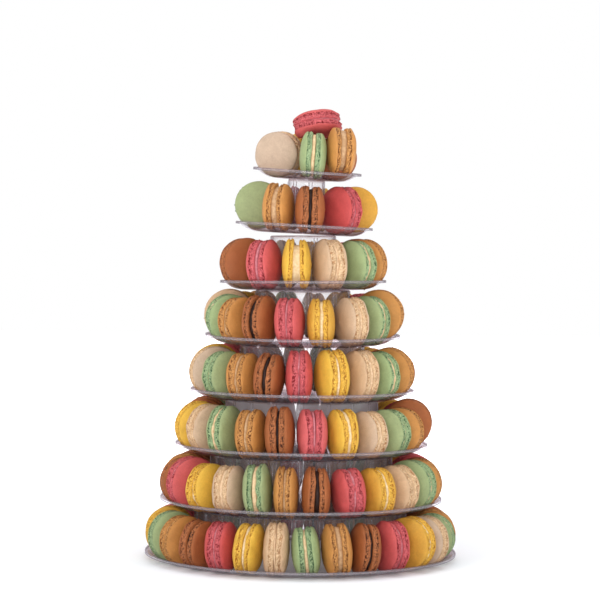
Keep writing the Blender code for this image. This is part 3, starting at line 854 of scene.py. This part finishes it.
shells = {  # two dome colours, between which macarons differ, then foot colour and the painted shade in the foot's pits
    "cream": ((0.48, 0.352, 0.255), (0.54, 0.35, 0.205), (0.64, 0.44, 0.26), (0.42, 0.21, 0.09)),
    "green": ((0.28, 0.325, 0.155), (0.28, 0.36, 0.165), (0.28, 0.37, 0.19), (0.03, 0.085, 0.03)),
    "caramel": ((0.44, 0.185, 0.045), (0.50, 0.225, 0.060), (0.50, 0.235, 0.070), (0.13, 0.035, 0.008)),
    "brown": ((0.28, 0.083, 0.025), (0.34, 0.105, 0.032), (0.37, 0.125, 0.044), (0.05, 0.010, 0.004)),
    "pink": ((0.47, 0.063, 0.060), (0.55, 0.105, 0.105), (0.52, 0.100, 0.110), (0.20, 0.008, 0.012)),
    "yellow": ((0.55, 0.28, 0.038), (0.66, 0.39, 0.050), (0.69, 0.40, 0.058), (0.36, 0.12, 0.008)),
}
fillings = {  # light and dark colour, half thickness, radius as a share, slot
    "cream": ((0.74, 0.55, 0.36), (0.60, 0.40, 0.24), 1.4 * mm, 0.91, "pale_filling"),
    "green": ((0.74, 0.54, 0.32), (0.60, 0.40, 0.22), 1.6 * mm, 0.91, "pale_filling"),
    "caramel": ((0.54, 0.35, 0.19), (0.42, 0.24, 0.12), 1.5 * mm, 0.90, "pale_filling"),
    "brown": ((0.030, 0.013, 0.009), (0.014, 0.006, 0.005), 1.4 * mm, 0.83, "dark_filling"),
    "pink": ((0.56, 0.22, 0.25), (0.44, 0.14, 0.16), 1.1 * mm, 0.90, "pink_filling"),
    "yellow": ((0.78, 0.64, 0.40), (0.66, 0.48, 0.26), 1.5 * mm, 0.90, "pale_filling"),
}
variety = {
    "seedStep": 1000, "thick": (0.75, 1.3), "width": 0.02,  # of the filling
    "place": 5.0, "otherSide": (0.3, 0.1, 0.2),  # metres through the noises
}
ownTraits = {  # by tier and number: tone, half thickness and radius of the filling, sides with a tip, lean
    (0, 1): {"thick": 0.7 * mm, "width": 0.88, "tone": 0.2},
    (1, 1): {"tone": -1.0, "tipped": (0,)},
    (1, 2): {"thick": 1.7 * mm, "width": 0.89, "tone": 0.3},
    (1, 3): {"thick": 2.9 * mm, "width": 0.86, "tone": 0.6},
    (2, 1): {"tone": -1.0, "tipped": ()},
    (2, 2): {"thick": 3.0 * mm, "width": 0.86, "tone": 0.6},
    (2, 3): {"thick": 1.7 * mm, "width": 0.86, "tone": 0.3, "tipped": (0,)},
    (2, 4): {"tone": -1.0},
    (2, 5): {"tone": -0.8},
    (3, 2): {"thick": 2.3 * mm, "width": 0.86, "tone": -0.6},
    (3, 4): {"thick": 3.4 * mm, "width": 0.77, "tone": 0.9},
    (4, 5): {"thick": 2.2 * mm, "width": 0.85, "tone": 0.0},
    (4, 6): {"lean": -1.5},
    (4, 7): {"tone": -0.7, "tipped": (1,)},
    (4, 10): {"tone": 0.8},
    (5, 4): {"tone": -0.6},
    (5, 6): {"lean": 3.5},
    (5, 8): {"tone": 0.9, "lean": -2.5},
    (6, 4): {"lean": 3.0},
    (6, 7): {"lean": -2.0},
    (6, 9): {"tone": 0.9, "lean": -2.5},
    (7, 4): {"thick": 1.9 * mm, "tone": 0.8},
    (7, 6): {"lean": -2.0},
    (7, 8): {"thick": 2.2 * mm, "width": 0.87, "tone": 0.4},
    (7, 9): {"lean": -3.5},
    (7, 10): {"tone": -0.8},
    (8, 6): {"tone": 0.9, "lean": 5.0},
    (8, 7): {"thick": 0.6 * mm, "width": 0.93, "tone": 0.9},
    (8, 8): {"lean": -6.5},
    (8, 9): {"thick": 2.6 * mm, "width": 0.88, "tone": 0.0, "lean": -4.0},
    (8, 10): {"lean": 3.0},
    (8, 12): {"tone": -0.6},
}


def skinMaterial(name, group, values, titles, colours, look):  # titles and colours go in pairs
    material, tree, shader = newMaterial(name)
    finish = addNode(tree, "ShaderNodeGroup", node_tree=group)
    link(tree, attributeNode(tree, "ownPlace").outputs["Vector"], finish.inputs["Place"])
    for title in values:
        link(tree, attributeNode(tree, title.lower()).outputs["Fac"], finish.inputs[title])
    for title, colour in zip(titles, colours):
        finish.inputs[title].default_value = (*colour, 1)
    link(tree, finish.outputs["Colour"], shader.inputs["Base Color"])
    if "Roughness" in finish.outputs:
        link(tree, finish.outputs["Roughness"], shader.inputs["Roughness"])
    else:
        shader.inputs["Roughness"].default_value = look["roughness"]
    shader.inputs["Specular IOR Level"].default_value = look["specular"]
    bumpNode(tree, finish.outputs["Height"], *look["bump"], shader)
    return material


def macaronPiece(name, parts, material, node):  # a part is faces, and what each of its points carries
    faces, start = [], 0
    for part in parts:
        faces += [tuple(index + start for index in face) for face in part["faces"]]
        start += len(part["points"])
    values = {key: np.concatenate([part[key] for part in parts]) for key in parts[0] if key != "faces"}
    points, own = values.pop("points"), values.pop("ownPlace")
    piece = finishPiece(name, points.tolist(), faces, Matrix.Identity(4), material, [node])
    attributes = piece.data.attributes
    place = attributes.new("ownPlace", "FLOAT_VECTOR", "POINT")
    place.data.foreach_set("vector", own.astype(np.float32).ravel())
    for title, value in values.items():
        attributes.new(title, "FLOAT", "POINT").data.foreach_set("value", value.astype(np.float32))


def macaronPart(points, matrix, faces, own, tone, pits, foot, band):
    turn, shift = np.array(matrix.to_3x3()), np.array(matrix.translation)
    part = {"points": points @ turn.T + shift, "faces": faces, "ownPlace": own}
    part.update(pits=pits, foot=foot, band=band, tone=np.full(len(points), tone))
    return part


def pieceName(node, name, kind):
    return f"{node}_{name}_{kind}" if node.startswith("macarons") else f"{node}_{kind}"


def leaned(matrix, degrees, radius, halves):  # tips a standing macaron sideways, clear of the tray
    lean = math.radians(degrees)
    foot = shellShape["domeEdge"] * max(halves)
    lift = radius * (math.cos(lean) - 1) + foot * abs(math.sin(lean))
    return Matrix.Translation((0, 0, lift)) @ matrix @ Matrix.Rotation(lean, 4, "Y")


def makeMacarons():
    shellGroup, cream = bakedShellGroup(), creamGroup()
    shellFinish, fillingFinish, shellParts, fillingParts = {}, {}, {}, {}
    for name in shells:
        title, colours = f"{name}Shell", shells[name]
        shellFinish[name] = skinMaterial(title, shellGroup, shellValues, shellColours, colours, skin)
        title, colours = f"{name}Filling", fillings[name]
        fillingFinish[name] = skinMaterial(title, cream, (), creamColours, colours, creamSkin)
    for tier, number, flavour, node, matrix, radius, halves in allMacarons():
        name = flavourNames[flavour]
        draw = random.Random(variety["seedStep"] * tier + number)
        tone = draw.uniform(-1, 1)
        offset = np.array([draw.uniform(-variety["place"], variety["place"]) for _ in range(3)])
        _, _, thick, width, slot = fillings[name]
        thick *= draw.uniform(*variety["thick"])
        width += draw.uniform(-variety["width"], variety["width"])
        traits = ownTraits.get((tier, number), {})
        tone, thick = traits.get("tone", tone), traits.get("thick", thick)
        width = traits.get("width", width)
        matrix = leaned(matrix, traits.get("lean", 0.0), radius, halves)
        for side in (0, 1):
            tipped = side in traits["tipped"] if "tipped" in traits else None
            points, own, pits, foot, band = makeShell(radius, halves[1 - side], thick, draw, tipped)
            if side:
                points = points * (1, -1, -1)  # a half turn, so the faces keep their sense
                own = own + variety["otherSide"]
            part = macaronPart(points, matrix, shellFaces, own + offset, tone, pits, foot, band)
            shellParts.setdefault((node, name), []).append(part)
        points, own = makeFillingShape(radius, thick, width, draw)
        blank = np.zeros(len(points))
        part = macaronPart(points, matrix, fillingFaces, own + offset, tone, blank, blank, blank)
        fillingParts.setdefault((node, name, slot), []).append(part)
    for (node, name), parts in shellParts.items():
        macaronPiece(pieceName(node, name, "shells"), parts, shellFinish[name], node)
    for (node, name, slot), parts in fillingParts.items():
        macaronPiece(pieceName(node, name, "filling"), parts, fillingFinish[name], node)
    print("macarons made:", len(shellParts), "shell pieces,", len(fillingParts), "filling pieces")


makeMacarons()
